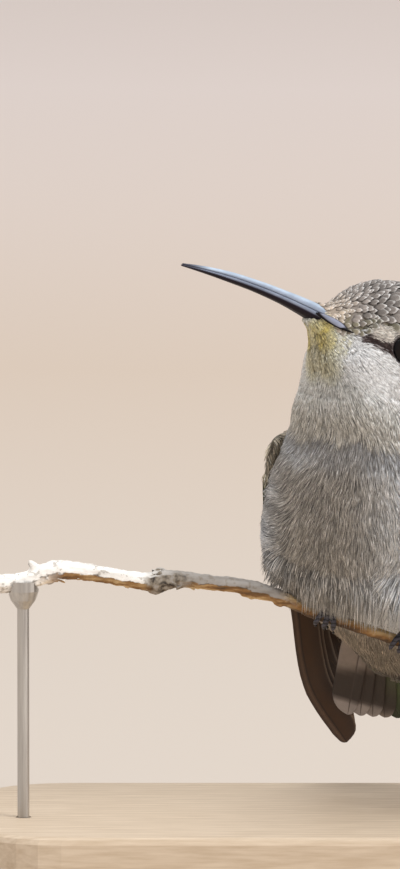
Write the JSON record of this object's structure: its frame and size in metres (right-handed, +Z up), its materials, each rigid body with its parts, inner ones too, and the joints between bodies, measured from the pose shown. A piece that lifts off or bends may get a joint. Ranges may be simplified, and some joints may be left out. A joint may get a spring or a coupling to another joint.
{
  "type": "hummingbird",
  "caption": "Still life-size model of a female hummingbird, grey below and green above, perched on a cut twig that thin rods hold above a flat wooden base.",
  "frame": {"origin": "middle of the underside of the stand's base", "axes": "+Z up; the viewer stands at -Y and sees the bird's breast, +X is to the viewer's right, and the bill points to -X and -Y"},
  "size_m": [0.0621, 0.0495, 0.0619],
  "materials": {
    "plumage_head": "feather",
    "plumage_body": "feather",
    "plumage_flight": "feather",
    "eye": "gloss",
    "bill": "satin",
    "foot": "matte",
    "bark": "matte",
    "stand_wood": "satin",
    "stand_metal": "satin"
  },
  "bodies": {
    "root": {"head": "plumage_head", "neck": "plumage_body", "trunk": "plumage_body", "tail": "plumage_flight", "wing_left": "plumage_flight", "wing_right": "plumage_flight", "eye_left": "eye", "eye_right": "eye", "bill_upper": "bill", "bill_lower": "bill", "leg_left": "foot", "leg_right": "foot", "twig": "bark", "stand_base": "stand_wood", "stand_rod_left": "stand_metal", "stand_rod_right": "stand_metal"}
  },
  "joints": []
}
